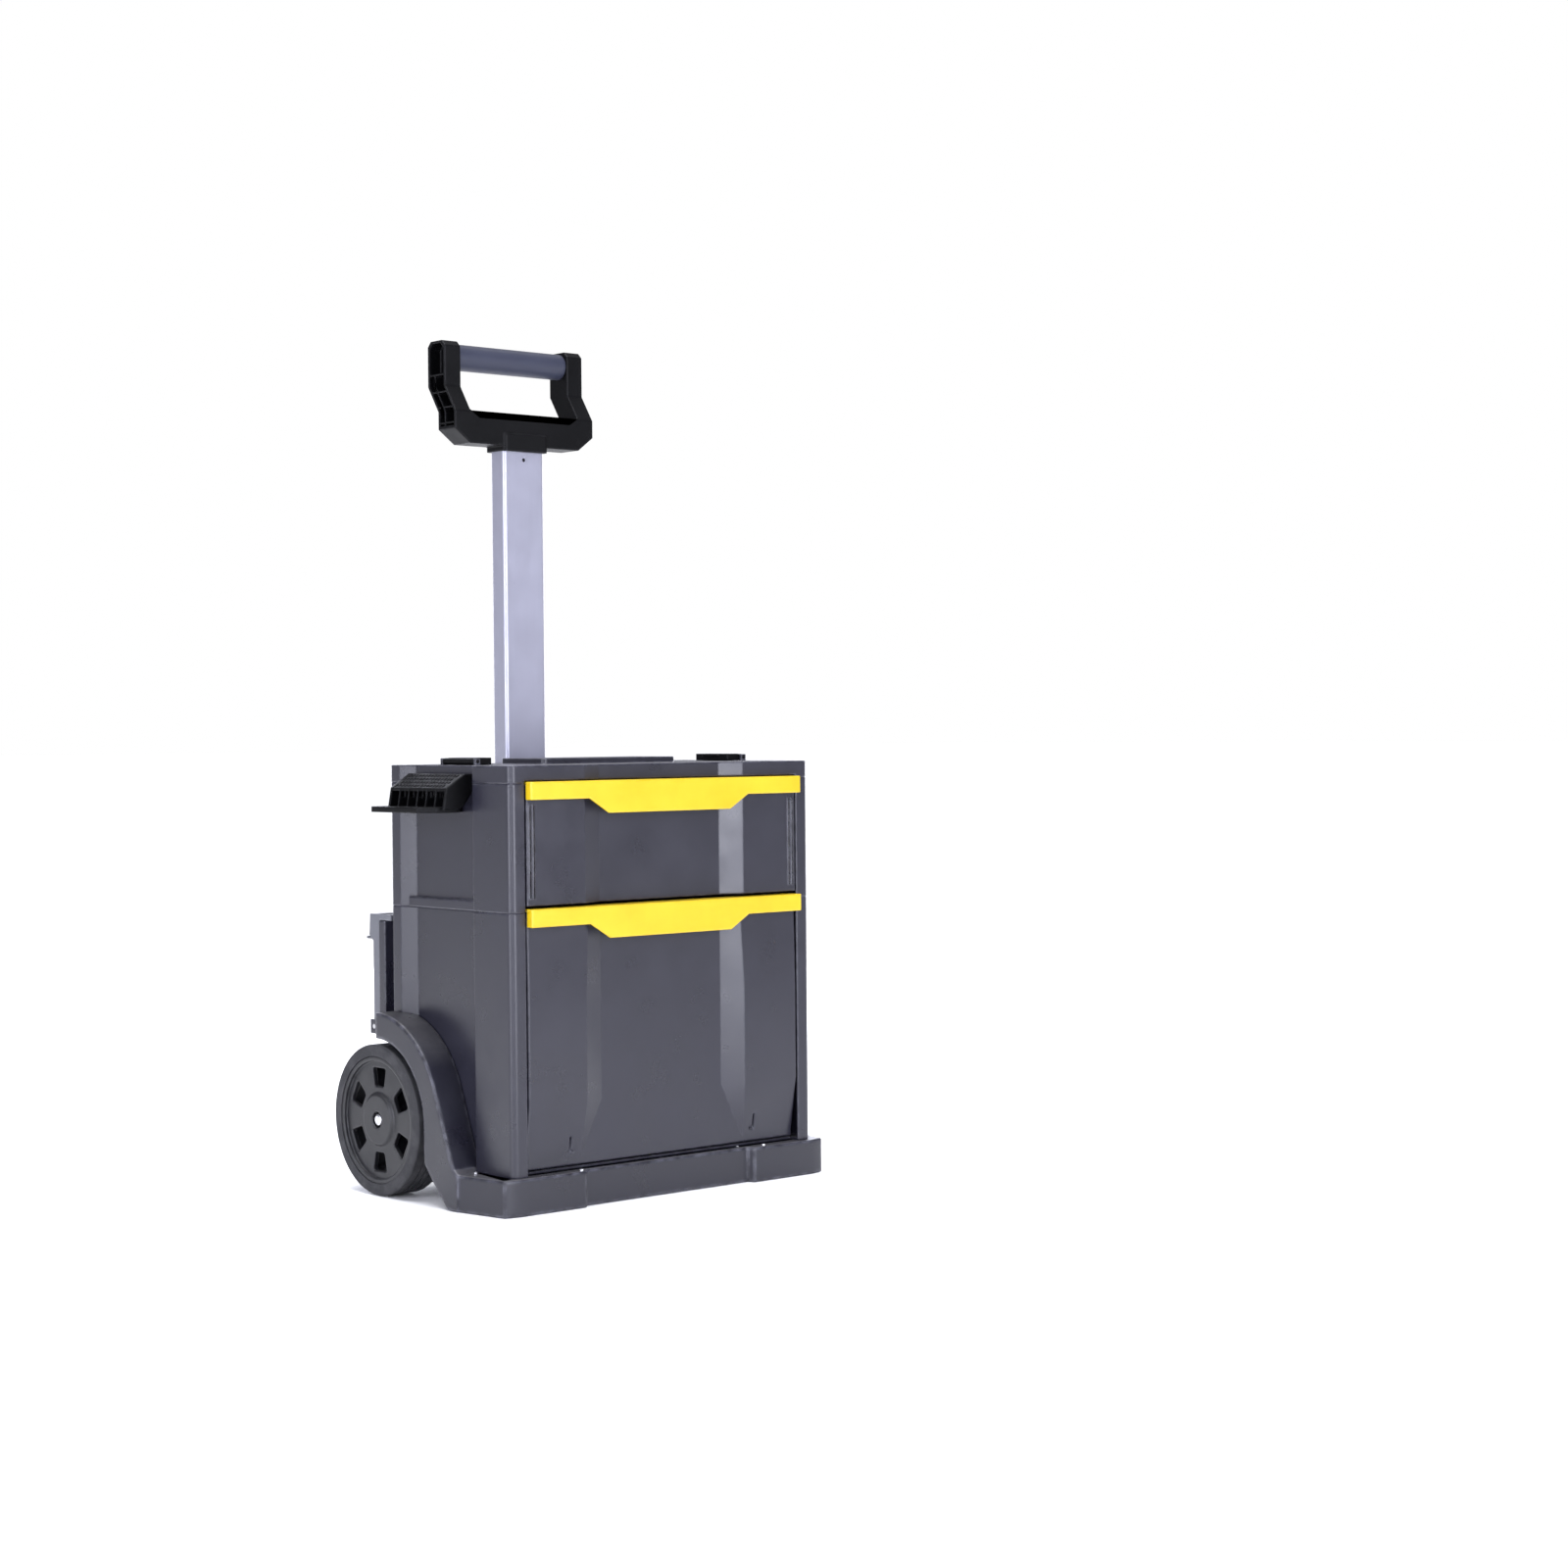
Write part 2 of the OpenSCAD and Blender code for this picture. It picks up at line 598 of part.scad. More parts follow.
// Strip with two rows of balls, which rolls between the channels
module ball_cage(z) {
    race = (cage_h + inner_h) / 4;
    web_x = tub_hw + rail_w - 3.3;
    translate([web_x, rail_y1 - cage_len, z - race - 0.4]) cube([0.8, cage_len, 2 * race + 0.8]);
    for (s = [-1, 1]) {
        translate([tub_hw + 2.5, rail_y1 - cage_len, z + s * race - 0.4]) cube([web_x - tub_hw - 2, cage_len, 0.8]);
        for (i = [0:ball_count - 1])
            translate([tub_hw + 4.2, rail_y1 - cage_len + (i + 0.5) * cage_len / ball_count, z + s * race])
                sphere(r = ball_r, $fn = 24);
    }
}

module lower_fixed_rails() color(steel) both() fixed_rail(lower_rail_z);
module upper_fixed_rails() color(steel) both() fixed_rail(upper_rail_z);
module lower_drawer_rails() color(steel) both() drawer_rail(lower_rail_z);
module upper_drawer_rails() color(steel) both() drawer_rail(upper_rail_z);
module lower_ball_cages() color(steel) both() ball_cage(lower_rail_z);
module upper_ball_cages() color(steel) both() ball_cage(upper_rail_z);

// ---------------------------------------------------------------- drawers

module tub(z0, z1) difference() {
    translate([-tub_hw, front_y, z0]) cube([2 * tub_hw, tub_y1 - front_y, z1 - z0]);
    translate([-tub_hw + tub_t, front_y + tub_t, z0 + tub_t])
        cube([2 * tub_hw - 2 * tub_t, tub_y1 - front_y - 2 * tub_t, z1 - z0]);
}

// Bent sheet of a drawer front, between two heights
module front_sheet(z0, z1) translate([0, 0, z0]) linear_extrude(z1 - z0)
    polygon(concat(full_line(front_hw, 0), [for (i = [5:-1:0]) full_line(front_hw, front_t)[i]]));

// Plates that close the sheet's ends against the tub
module front_ends(z0, z1, t) both() translate([front_hw - t, yf + 1, z0]) cube([t, front_y - yf - 1, z1 - z0]);

lower_bend = skirt_h + 73;       // below this height the lower front's sides lean back
lower_lean = lower_z0 + 205 - 28;

module lower_drawer_front() color(plastic) difference() {
    union() {
        front_sheet(lower_bend, lower_z1 - pull_t);
        front_ends(lower_bend, lower_z1 - pull_t, front_t);
        translate([-front_hw, front_y - front_t, lower_z0]) cube([2 * front_hw, front_t, lower_z1 - pull_t - lower_z0]);
        // foot: the sides lean back and the facets run out to points
        both() polyhedron(
            points = [
                [floor_hw, yf + recess_d, lower_bend], [recess_hw, yf, lower_bend],
                [front_hw, yf, lower_bend], [front_hw, yf + recess_d + 1, lower_bend],
                [front_hw, yf + recess_d, lower_z0 + 6], [recess_hw + 3.5, yf + recess_d, lower_z0 + 6],
                [floor_hw, yf + recess_d + 1, lower_bend], [front_hw, yf + recess_d + 1, lower_z0 + 6],
                [recess_hw + 3.5, yf + recess_d + 1, lower_z0 + 6]
            ],
            faces = [
                [0, 6, 3, 2, 1], [1, 2, 4, 5], [0, 1, 5], [2, 3, 7, 4], [6, 8, 7, 3], [0, 5, 8, 6], [4, 7, 8, 5]
            ]
        );
    }
    // small hooked slots in the foot
    both() {
        translate([recess_hw + 17, yf - 1, lower_z0 + 14]) cube([2, recess_d + 1.6, 17]);
        translate([recess_hw + 13, yf - 1, lower_z0 + 14]) cube([4.5, recess_d + 1.6, 2]);
    }
    // the upper part of the front leans back a little
    translate([0, yf, lower_lean]) rotate([-1, 0, 0]) translate([-front_hw - 1, -20, 0])
        cube([2 * front_hw + 2, 20, lower_z1]);
}

module upper_drawer_front() color(plastic) {
    front_sheet(upper_z0, upper_z1 - pull_t);
    front_ends(upper_z0, upper_z1 - pull_t, front_t);
    translate([-front_hw, front_y - front_t, upper_z0]) cube([2 * front_hw, front_t, upper_z1 - pull_t - upper_z0]);
    // closing plate underneath
    translate([0, 0, upper_z0]) linear_extrude(3)
        polygon(concat(full_line(front_hw, 0), [[front_hw, front_y], [-front_hw, front_y]]));
    // ribs beside the right and left ends
    both() for (i = [0:1]) translate([front_hw - 5 - 5 * i, yf - 0.8, upper_z0 + 8])
        cube([1.4, 2, upper_z1 - pull_h - upper_z0 - 14]);
}

// Outline of a pull, seen from the front
module pull_outline(z1, inset) polygon([
    [-front_hw - 1 + inset, z1 - pull_h + inset], [-recess_hw + inset / 2, z1 - pull_h + inset],
    [-floor_hw - 1 + inset / 2, z1 - pull_h - pull_drop + inset],
    [floor_hw + 1 - inset / 2, z1 - pull_h - pull_drop + inset],
    [recess_hw - inset / 2, z1 - pull_h + inset], [front_hw + 1 - inset, z1 - pull_h + inset],
    [front_hw + 1 - inset, z1 - inset], [-front_hw - 1 + inset, z1 - inset]
]);

// A hooded pull, open below for the fingers
module pull(z1) color(yellow) difference() {
    union() {
        translate([0, yf - pull_out + pull_t, 0]) rotate([90, 0, 0]) linear_extrude(pull_t) pull_outline(z1, 0);
        // roof that lies on the drawer front
        translate([0, 0, z1 - pull_t]) linear_extrude(pull_t) polygon([
            [-front_hw - 1, yf - pull_out], [front_hw + 1, yf - pull_out],
            [front_hw + 1, front_y], [-front_hw - 1, front_y]
        ]);
        // end cheeks
        both() translate([front_hw + 1 - pull_t, yf - pull_out, z1 - pull_h]) cube([pull_t, pull_out, pull_h]);
    }
    // the case's pillars stay clear of the roof's ends
    both() translate([front_hw, yf, z1 - pull_h - 1]) cube([9, 40, pull_h + 2]);
}

module lower_drawer_tub() color(plastic) tub(lower_z0 + 4, lower_z1 - 40);
module upper_drawer_tub() color(plastic) tub(upper_z0 + 4, upper_z1 - 26);
module lower_pull() pull(lower_z1);
module upper_pull() pull(upper_z1);

// ---------------------------------------------------------------- wheels

module wheel_axis(x) translate([x, wheel_y, wheel_r]) rotate([0, 90, 0]) children();

module tyre() color(black) wheel_axis(wheel_x0) difference() {
    rotate_extrude($fn = 96) difference() {
        translate([rim_r, 0]) square([tyre_t, wheel_w]);
        // round shoulders
        for (z = [0, wheel_w]) translate([wheel_r - 3, z == 0 ? 0 : wheel_w - 3]) difference() {
            translate([0, z == 0 ? -1 : 0]) square(4);
            translate([0, z == 0 ? 3 : 0]) circle(r = 3);
        }
        // grooves round the tread
        for (z = [-8, 0, 8]) translate([wheel_r - 2, wheel_w / 2 + z - 1]) square([3, 2]);
        // ring that keys the tyre to the rim
        translate([rim_r - 0.1, wheel_w / 2 - 5]) square([3.1, 10]);
    }
}

rim_face = 5;                    // how far the rim's disc is set in from the tyre's side
disc_t = 6;
hub_r1 = 27;                     // raised middle of the disc
module rim() color(black) wheel_axis(wheel_x0) difference() {
    union() {
        // outer ring with its lip, and the key for the tyre
        rotate_extrude($fn = 96) {
            translate([rim_r - 5, 1]) square([5, wheel_w - 2]);
            translate([rim_r - 1, wheel_w / 2 - 5]) square([4, 10]);
        }
        // disc, with a shallow cone up to the raised middle
        translate([0, 0, wheel_w - rim_face - disc_t]) cylinder(r = rim_r - 2, h = disc_t);
        translate([0, 0, wheel_w - rim_face]) cylinder(r1 = hub_r1 + 3, r2 = hub_r1, h = 3.5);
        // hub, and ribs behind the disc
        translate([0, 0, 1]) cylinder(r = 17, h = wheel_w - rim_face - 2);
        for (a = [30:60:330]) rotate(a) translate([0, -2, 6]) cube([rim_r - 2, 4, wheel_w - rim_face - disc_t - 5]);
    }
    // windows through the disc
    for (a = [0:60:300]) rotate(a) translate([0, 0, 4]) linear_extrude(wheel_w)
        polygon([[36, -8], [38, -9.5], [55, -13], [57, -11], [57, 11], [55, 13], [38, 9.5], [36, 8]]);
    // bore for the axle
    translate([0, 0, -1]) cylinder(r = axle_r + pin_clear, h = wheel_w + 2);
    // seat of the axle's cap
    translate([0, 0, wheel_w - 9]) cylinder(r = 9, h = 10);
}

axle_end = wheel_x1 - 6;         // tip of the axle
module axle() color(steel) wheel_axis(-axle_end) cylinder(r = axle_r, h = 2 * axle_end);

module axle_bush() wheel_axis(well_in - 12.5) difference() {
    union() {
        cylinder(r = axle_r + 3, h = well_x - well_in + 12.5);
        translate([0, 0, well_x - well_in + 12.5]) cylinder(r = 11, h = 2);
    }
    translate([0, 0, -1]) cylinder(r = axle_r, h = 40);
}
module axle_bushes() color(grey) both() axle_bush();

// Domed cap pressed on the end of the axle
module axle_cap() color(steel) wheel_axis(wheel_x1 - 8.6) difference() {
    union() {
        cylinder(r = 8, h = 1.6);
        cylinder(r = 6.4, h = 5.6);
        translate([0, 0, 5.6]) cylinder(r1 = 6.4, r2 = 4.4, h = 1.2);
    }
    translate([0, 0, -1]) cylinder(r = axle_r, h = 1 + axle_end - wheel_x1 + 8.6);
}

// ---------------------------------------------------------------- handle

module pole() color(grey) difference() {
    translate([0, pole_y, pole_z0]) linear_extrude(pole_z1 - pole_z0) difference() {
        round_rect(pole_w, pole_d, 4);
        round_rect(pole_w - 2 * pole_t, pole_d - 2 * pole_t, 2);
    }
    translate([0, pole_y - 30, handle_z - 15]) rotate([-90, 0, 0]) cylinder(r = 2.2, h = 60);
    handle_screw_places() translate([0, 0, -19]) cylinder(r = 2, h = 30);
    translate([0, pole_y, pin_z]) rotate([-90, 0, 0]) cylinder(r = pin_r + 0.1, h = 60);
}

// Block in the end of the pole, which guides the lock pin
module pole_foot() color(black) difference() {
    translate([0, pole_y, pole_z0 - 3]) {
        linear_extrude(36) round_rect(pole_w - 2 * pole_t, pole_d - 2 * pole_t, 2);
        linear_extrude(3) round_rect(pole_w, pole_d, 4);
    }
    translate([0, pole_y, pin_z]) rotate([-90, 0, 0]) cylinder(r = pin_r + 0.1, h = 60);
    // room for the pin's tail and for the rod
    translate([-5, pole_y - 4.4 - button_travel, pin_z - 10.5]) cube([10, 11.8 + button_travel, 50]);
}

// Slant on which the rod's tip pushes the lock pin in: z = 1 - y, seen from the side
module slant(y1, up) polygon([[pole_y - 6, pin_z + 7 + up], [y1, pin_z + 1 - (y1 - pole_y) + up], [y1, pin_z + 20],
                              [pole_y - 6, pin_z + 20]]);

// The pin that locks the pole, with a tail that the rod pushes on
module lock_pin() color(steel) difference() {
    union() {
        translate([0, pole_y + 6, pin_z]) rotate([-90, 0, 0]) cylinder(r = pin_r, h = pole_d / 2 + pin_out - 6);
        translate([-4.5, pole_y - 4, pin_z - 10]) cube([9, 11, 14]);
    }
    across(-9, 9) slant(pole_y + rod_r + 0.4 + button_travel, 0);
}

module release_rod() color(steel) intersection() {
    translate([0, pole_y, pin_z - 4]) cylinder(r = rod_r, h = pole_z1 - pin_z + 3);
    union() {
        across(-9, 9) slant(pole_y + 9, 0.4);
        translate([-9, pole_y - 9, pin_z + 12]) cube([18, 18, pole_z1]);
    }
}

button_w = pole_w - 19;           // width of the release button
// Button in the cross bar, kept in by a wider foot inside the pole
module release_button() color(grey) difference() {
    union() {
        translate([0, pole_y, pole_z1 - 3]) linear_extrude(bar_z - pole_z1 + 3) round_rect(button_w, 15, 4);
        translate([0, pole_y, pole_z1 - 6]) linear_extrude(6 - fit) round_rect(button_w + 6, 18, 3);
    }
    translate([0, pole_y, pole_z1 - 7]) cylinder(r = rod_r, h = 6);
}

// Side view of an arm: the upper half is set back
crank_z0 = bar_z + 6;            // ends of the slanted stretch
crank_z1 = bar_z + 36;
module arm_profile(inset) polygon([
    [pole_y - handle_d / 2 + inset, handle_z + inset], [pole_y + handle_d / 2 - inset, handle_z + inset],
    [pole_y + handle_d / 2 - inset, crank_z0], [grip_y + handle_d / 2 - inset, crank_z1],
    [grip_y + handle_d / 2 - inset, handle_z + handle_h - 6 - inset],
    [grip_y + handle_d / 2 - 6 - inset, handle_z + handle_h - inset],
    [grip_y - handle_d / 2 + 6 + inset, handle_z + handle_h - inset],
    [grip_y - handle_d / 2 + inset, handle_z + handle_h - 6 - inset],
    [grip_y - handle_d / 2 + inset, crank_z1], [pole_y - handle_d / 2 + inset, crank_z0]
]);

// Ribs that stiffen the pocket in the outer side of an arm
module arm_ribs() {
    for (z = [handle_z + 22, handle_z + 40, handle_z + 58, handle_z + 78]) translate([pole_y - 60, z]) square([150, 2]);
    polygon([
        [pole_y + 3, handle_z], [pole_y + 5, handle_z], [pole_y + 5, crank_z0], [grip_y + 5, crank_z1],
        [grip_y + 5, handle_z + 80], [grip_y + 3, handle_z + 80], [grip_y + 3, crank_z1], [pole_y + 3, crank_z0]
    ]);
}

handle_cut = 21;                 // width of the handle's slanted lower corners
core_in = 4;                     // depth of the grip core's sockets

module handle_frame() color(black) difference() {
    union() {
        both() across(arm_x, handle_w / 2) arm_profile(0);
        // cross bar with slanted inner corners
        translate([0, pole_y + handle_d / 2, 0]) rotate([90, 0, 0]) linear_extrude(handle_d) polygon([
            [-arm_x - 1, handle_z], [arm_x + 1, handle_z], [arm_x + 1, bar_z + 8], [arm_x, bar_z + 8],
            [arm_x - 12, bar_z], [-arm_x + 12, bar_z], [-arm_x, bar_z + 8], [-arm_x - 1, bar_z + 8]
        ]);
        // boss round the pole
        translate([0, pole_y, handle_z - 6]) linear_extrude(20) round_rect(pole_w + 6, handle_d + 4, 5);
    }
    // slanted outer corners
    both() translate([0, pole_y + 60, 0]) rotate([90, 0, 0]) linear_extrude(120) polygon([
        [handle_w / 2 - handle_cut, handle_z], [handle_w / 2 - handle_cut - 1, handle_z - 9],
        [handle_w / 2 + 9, handle_z - 9], [handle_w / 2 + 9, handle_z + 16], [handle_w / 2, handle_z + 16]
    ]);
    // socket of the pole
    translate([0, pole_y, handle_z - 9]) linear_extrude(pole_z1 - handle_z + 9) round_rect(pole_w, pole_d, 4);
    // guide of the button, below a pocket for the fingers
    translate([0, pole_y, pole_z1 - 1]) linear_extrude(9) round_rect(button_w + 1, 16, 4);
    translate([0, pole_y, bar_z - button_travel - 1]) linear_extrude(20) round_rect(button_w + 12, 22, 6);
    // pockets in the outer sides, with ribs between them
    both() difference() {
        across(arm_x + 6, handle_w / 2 + 1) arm_profile(3);
        across(arm_x, handle_w / 2 + 2) arm_ribs();
        // floor of the slanted corner
        translate([0, pole_y + 60, 0]) rotate([90, 0, 0]) linear_extrude(120) polygon([
            [arm_x, handle_z], [arm_x, handle_z + 6], [handle_w / 2 + 2, handle_z + 21], [handle_w / 2 + 2, handle_z]
        ]);
    }
    // sockets of the grip's core
    translate([-arm_x - core_in, grip_y, grip_z]) rotate([0, 90, 0]) cylinder(r = grip_r - 4, h = 2 * arm_x + 2 * core_in);
    // holes of the screws
    handle_screw_places() translate([0, 0, -19]) cylinder(r = 2, h = 30);
}

// Places of the two screws at the back of the cross bar
module handle_screw_places() for (x = [-pole_w / 4, pole_w / 4])
    translate([x, pole_y + handle_d / 2, handle_z + 19]) rotate([-90, 0, 0]) children();

module grip() color([0.3, 0.31, 0.38]) translate([-arm_x, grip_y, grip_z]) rotate([0, 90, 0]) difference() {
    cylinder(r = grip_r, h = 2 * arm_x);
    translate([0, 0, -1]) cylinder(r = grip_r - 4, h = 2 * arm_x + 2);
}
module grip_core() color(grey) translate([-arm_x - core_in, grip_y, grip_z]) rotate([0, 90, 0]) difference() {
    cylinder(r = grip_r - 4, h = 2 * arm_x + 2 * core_in);
    translate([0, 0, -1]) cylinder(r = grip_r - 6, h = 2 * arm_x + 2 * core_in + 2);
}

// ---------------------------------------------------------------- latches

module coupling_latch() color(black) difference() {
    union() {
        translate([clip_x - clip_w / 2, clip_y - clip_l / 2 + 6.5, case_h + fit])
            cube([clip_w - 7.5, clip_l - 13, clip_h - fit]);
        translate([clip_pin_x, clip_y - clip_l / 2 + 6.5, clip_z]) rotate([-90, 0, 0])
            cylinder(r = clip_h / 2 - fit, h = clip_l - 13);
        translate([clip_pin_x - 7, clip_y - clip_l / 2 + 6.5, clip_z - 3]) cube([7, clip_l - 13, 6]);
        // finger lip
        translate([clip_x - clip_w / 2 - 3, clip_y - 14, case_h + clip_h - 3]) cube([4, 28, 3]);
    }
    translate([clip_pin_x, clip_y - clip_l, clip_z]) rotate([-90, 0, 0]) cylinder(r = clip_pin_r + pin_clear, h = 2 * clip_l);
    // hollow that hooks over the box carried on top
    translate([clip_x - clip_w / 2 + 4, clip_y - clip_l / 2 + 12, case_h - 1]) cube([9, clip_l - 24, clip_h - 2]);
}
module right_coupling_latch() coupling_latch();
module left_coupling_latch() mirror([1, 0, 0]) coupling_latch();
module clip_pins() color(steel) both()
    translate([clip_pin_x, clip_y - clip_l / 2 + 2, clip_z]) rotate([-90, 0, 0]) cylinder(r = clip_pin_r, h = clip_l - 4);

// Long lever behind the column, with a hood over its top
lever_y0 = yr + column_d + 1;
lever_y1 = latch_y + hub_r;
module rear_latch() color(grey) difference() {
    across(latch_x - latch_w / 2, latch_x + latch_w / 2) {
        translate([latch_y, latch_z]) circle(r = hub_r);
        polygon([
            [lever_y0, latch_z], [lever_y1, latch_z], [lever_y1, latch_top - 30], [lever_y1 + 8, latch_top - 24],
            [lever_y1 + 6, latch_top], [yr + 2, latch_top], [yr + 2, latch_top - 6.5], [lever_y0, latch_top - 6.5]
        ]);
        // finger lip
        translate([lever_y1 + 5, latch_top - 28]) square([8, 3]);
    }
    translate([latch_x - latch_w, latch_y, latch_z]) rotate([0, 90, 0])
        cylinder(r = latch_pin_r + pin_clear, h = 2 * latch_w);
    // long hollow behind the lever, and the hollow of the hood
    translate([latch_x - latch_w / 2 + 3, lever_y1 - 8, latch_z + 14])
        cube([latch_w - 6, 20, latch_top - 34 - latch_z - 14]);
    translate([latch_x - latch_w / 2 + 3, yr + 16, latch_top - 4]) cube([latch_w - 6, 14, 9]);
}
module right_rear_latch() rear_latch();
module left_rear_latch() mirror([1, 0, 0]) rear_latch();
module latch_pins() color(steel) both()
    translate([latch_x - latch_w / 2 - 4, latch_y, latch_z]) rotate([0, 90, 0]) cylinder(r = latch_pin_r, h = latch_w + 8);

// ---------------------------------------------------------------- screws

// Pan-head screw with its head towards +Z
module screw(r, l, head_r, head_h) difference() {
    union() { translate([0, 0, -l]) cylinder(r = r, h = l); cylinder(r = head_r, h = head_h); }
    for (a = [0, 90]) rotate(a) translate([-head_r * 0.6, -0.5, head_h * 0.4]) cube([head_r * 1.2, 1, head_h]);
}
module cover_screws() color(steel) both() for (y = screw_ys)
    translate([screw_x, y, case_h - 1.6]) screw(2, cover_h - 3, 4.4, 1.6);
module skirt_screws() color(steel) skirt_screw_places() screw(1.5, skirt_screw_l, 2.2, 2);
module housing_screws() color(steel) both() {
    for (z = [seam_z + 26, cover_z - 22])
        translate([housing_w / 2 + 9, yr + fit + 4, z]) rotate([-90, 0, 0]) screw(2, 6, 4, 2.4);
    for (z = bar_zs) {
        translate([housing_w / 2 + 9, housing_y0 + 4, z + bar_t / 2]) rotate([-90, 0, 0]) screw(2, 12, 4, 2.4);
        translate([70, yr + fit + 5, z - 40]) rotate([-90, 0, 0]) screw(2, 7, 4, 2.4);
    }
}
module handle_screws() color(steel) handle_screw_places() screw(2, 7, 4, 2);

base_frame();
lower_case();
upper_case();
top_cover();
back_frame();
pole_housing();
tool_rack();
axle();
axle_bushes();
lower_fixed_rails();
upper_fixed_rails();
clip_pins();
latch_pins();
cover_screws();
skirt_screws();
housing_screws();
lower_drawer_tub();
lower_drawer_front();
lower_pull();
lower_drawer_rails();
lower_ball_cages();
upper_drawer_tub();
upper_drawer_front();
upper_pull();
upper_drawer_rails();
upper_ball_cages();
mirror([1, 0, 0]) tyre();  // left_tyre
mirror([1, 0, 0]) rim();  // left_rim
mirror([1, 0, 0]) axle_cap();  // left_axle_cap
tyre();  // right_tyre
rim();  // right_rim
axle_cap();  // right_axle_cap
pole();
pole_foot();
handle_frame();
grip();
grip_core();
handle_screws();
release_button();
release_rod();
lock_pin();
left_coupling_latch();
right_coupling_latch();
left_rear_latch();
right_rear_latch();
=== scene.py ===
# %% [markdown]
# # A rolling tool box
# The tool box has a moulded case with two drawers, a base with two wheels, and a pole with a handle. Its
# true shapes and sizes come as a fixed frame of closed solids. This lesson gives them the look of the real
# thing: rounded edges, moulded plastic, rubber and metal, and the light and camera of a product picture.

# %% Load the frame
import json
import math

import bpy
from mathutils import Matrix, Vector


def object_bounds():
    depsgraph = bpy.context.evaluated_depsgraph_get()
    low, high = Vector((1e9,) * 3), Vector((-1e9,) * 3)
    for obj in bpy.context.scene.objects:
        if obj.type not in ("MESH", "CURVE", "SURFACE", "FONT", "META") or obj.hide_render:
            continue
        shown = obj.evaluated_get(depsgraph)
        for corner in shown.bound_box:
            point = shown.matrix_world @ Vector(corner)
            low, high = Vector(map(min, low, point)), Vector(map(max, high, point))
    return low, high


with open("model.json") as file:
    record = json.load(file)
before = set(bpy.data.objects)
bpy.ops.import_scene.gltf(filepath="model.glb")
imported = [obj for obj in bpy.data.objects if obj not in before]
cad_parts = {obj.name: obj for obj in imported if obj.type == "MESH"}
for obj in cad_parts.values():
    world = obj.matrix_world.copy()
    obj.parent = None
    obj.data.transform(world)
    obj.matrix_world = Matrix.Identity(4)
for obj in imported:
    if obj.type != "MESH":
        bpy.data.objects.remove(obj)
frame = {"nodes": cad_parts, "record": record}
nodes = frame["nodes"]
cad_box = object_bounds()
MM = 0.001
print("CAD pieces:", len(nodes), "box:", [[round(v, 3) for v in corner] for corner in cad_box])

# %% [markdown]
# ## Camera
# A product picture like this one is taken from a few metres away with a longish lens, so upright edges stay
# upright and the case doesn't look wide at the front. The camera stands in front of the left front corner,
# just higher than the cover, so the cover is seen as a thin line. Yaw turns the camera round the object,
# pitch tips it and roll levels it.

# %% Camera
CAMERA_PLACE = Vector((-1.9308, -2.4955, 0.5087))
CAMERA_YAW = math.radians(-41.443)
CAMERA_PITCH = math.radians(1.134)
CAMERA_ROLL = math.radians(-0.481)
CAMERA_LENS = 64.39
SENSOR_WIDTH = 36


def camera_axes(yaw, pitch, roll):
    """The camera's right, up and back directions."""
    back = Vector((math.sin(yaw) * math.cos(pitch), -math.cos(yaw) * math.cos(pitch), math.sin(pitch)))
    level = Vector((math.cos(yaw), math.sin(yaw), 0))
    upward = back.cross(level)
    right = math.cos(roll) * level + math.sin(roll) * upward
    up = -math.sin(roll) * level + math.cos(roll) * upward
    return right, up, back


camera = bpy.data.objects.new("camera", bpy.data.cameras.new("camera"))
bpy.context.collection.objects.link(camera)
columns = Matrix(camera_axes(CAMERA_YAW, CAMERA_PITCH, CAMERA_ROLL)).transposed()
camera.matrix_world = Matrix.Translation(CAMERA_PLACE) @ columns.to_4x4()
camera.data.sensor_width = SENSOR_WIDTH
camera.data.lens = CAMERA_LENS
bpy.context.scene.camera = camera
print("camera is", round(CAMERA_PLACE.length, 2), "m from the origin")

# %% [markdown]
# ## White surroundings
# A product picture has nothing behind the object but white. A world that is bright enough to look white
# would also fill every shadow, so this one is white only where the camera sees it and much dimmer where it
# lights. A Light Path node picks between the two.

# %% World
WORLD_LIGHT = 0.37
COOL_WHITE = (0.86, 0.88, 1.0)

scene = bpy.context.scene
scene.view_settings.view_transform = "Standard"
world = bpy.data.worlds.new("studio")
world.use_nodes = True
sky = world.node_tree
dim = sky.nodes["Background"]
dim.inputs["Color"].default_value = (*COOL_WHITE, 1)
dim.inputs["Strength"].default_value = WORLD_LIGHT
white = sky.nodes.new("ShaderNodeBackground")
white.inputs["Color"].default_value = (1, 1, 1, 1)
seen = sky.nodes.new("ShaderNodeLightPath").outputs["Is Camera Ray"]
either = sky.nodes.new("ShaderNodeMixShader")
sky.links.new(seen, either.inputs["Fac"])
sky.links.new(dim.outputs["Background"], either.inputs[1])
sky.links.new(white.outputs["Background"], either.inputs[2])
sky.links.new(either.outputs["Shader"], sky.nodes["World Output"].inputs["Surface"])
scene.world = world
print("world lights with", WORLD_LIGHT)

# %% [markdown]
# ## Lights
# Dark plastic shows its shape by what it mirrors, so the main lights are two tall soft boxes. One stands in
# front of the drawers and one to the left, where the slanted facets of the drawers and of the sides mirror
# them and come out much lighter than the flats. A narrow strip between them draws a thin bright line down
# each rounded upright edge, and a box overhead does the same for the edges that face up. Two weaker boxes
# light the right side and the back. A very soft sun straight above makes the floor an even white out to
# the horizon.

# %% Lights
SUN_STRENGTH = 2.7
SUN_SPREAD = math.radians(50)

object_middle = (Vector(cad_box[0]) + Vector(cad_box[1])) / 2


